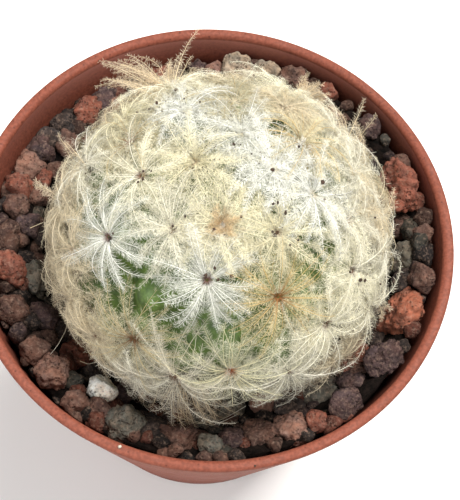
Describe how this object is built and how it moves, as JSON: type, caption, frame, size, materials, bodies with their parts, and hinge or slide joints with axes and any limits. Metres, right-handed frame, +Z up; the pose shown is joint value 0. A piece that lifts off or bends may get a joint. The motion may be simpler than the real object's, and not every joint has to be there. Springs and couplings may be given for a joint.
{
  "type": "potted feather cactus",
  "caption": "Round feather cactus covered in stars of woolly white spines, growing in lava and pumice grit in a small terracotta-coloured plastic pot.",
  "frame": {"origin": "centre of the pot's flat underside, on the pot's axis", "axes": "+Z up along the pot's axis, -Y towards the front, where the plant leans"},
  "size_m": [0.055, 0.055, 0.0662],
  "materials": {
    "pot_plastic": "terracotta-coloured moulded plastic, faintly speckled, soft sheen",
    "grit": "rough pitted lava and pumice grains, red-brown, purple-brown, grey and beige",
    "plant_skin": "fresh green waxy plant skin",
    "feather_spines": "soft cream-white feather spines, brown at their roots"
  },
  "bodies": {
    "root": {"pot": "pot_plastic", "grit_bed": "grit", "cactus_body": "plant_skin", "spine_star_01": "feather_spines", "spine_star_02": "feather_spines", "spine_star_03": "feather_spines", "spine_star_04": "feather_spines", "spine_star_05": "feather_spines", "spine_star_06": "feather_spines", "spine_star_07": "feather_spines", "spine_star_08": "feather_spines", "spine_star_09": "feather_spines", "spine_star_10": "feather_spines", "spine_star_11": "feather_spines", "spine_star_12": "feather_spines", "spine_star_13": "feather_spines", "spine_star_14": "feather_spines", "spine_star_15": "feather_spines", "spine_star_16": "feather_spines", "spine_star_17": "feather_spines", "spine_star_18": "feather_spines", "spine_star_19": "feather_spines", "spine_star_20": "feather_spines", "spine_star_21": "feather_spines", "spine_star_22": "feather_spines", "spine_star_23": "feather_spines", "spine_star_24": "feather_spines", "spine_star_25": "feather_spines", "spine_star_26": "feather_spines", "spine_star_27": "feather_spines", "spine_star_28": "feather_spines", "spine_star_29": "feather_spines", "spine_star_30": "feather_spines", "spine_star_31": "feather_spines", "spine_star_32": "feather_spines", "spine_star_33": "feather_spines", "spine_star_34": "feather_spines", "spine_star_35": "feather_spines", "spine_star_36": "feather_spines", "spine_star_37": "feather_spines", "spine_star_38": "feather_spines", "spine_star_39": "feather_spines", "spine_star_40": "feather_spines", "spine_star_41": "feather_spines", "spine_star_42": "feather_spines", "spine_star_43": "feather_spines", "spine_star_44": "feather_spines", "spine_star_45": "feather_spines", "spine_star_46": "feather_spines", "spine_star_47": "feather_spines", "spine_star_48": "feather_spines", "spine_star_49": "feather_spines", "spine_star_50": "feather_spines", "spine_star_51": "feather_spines", "spine_star_52": "feather_spines"}
  },
  "joints": []
}
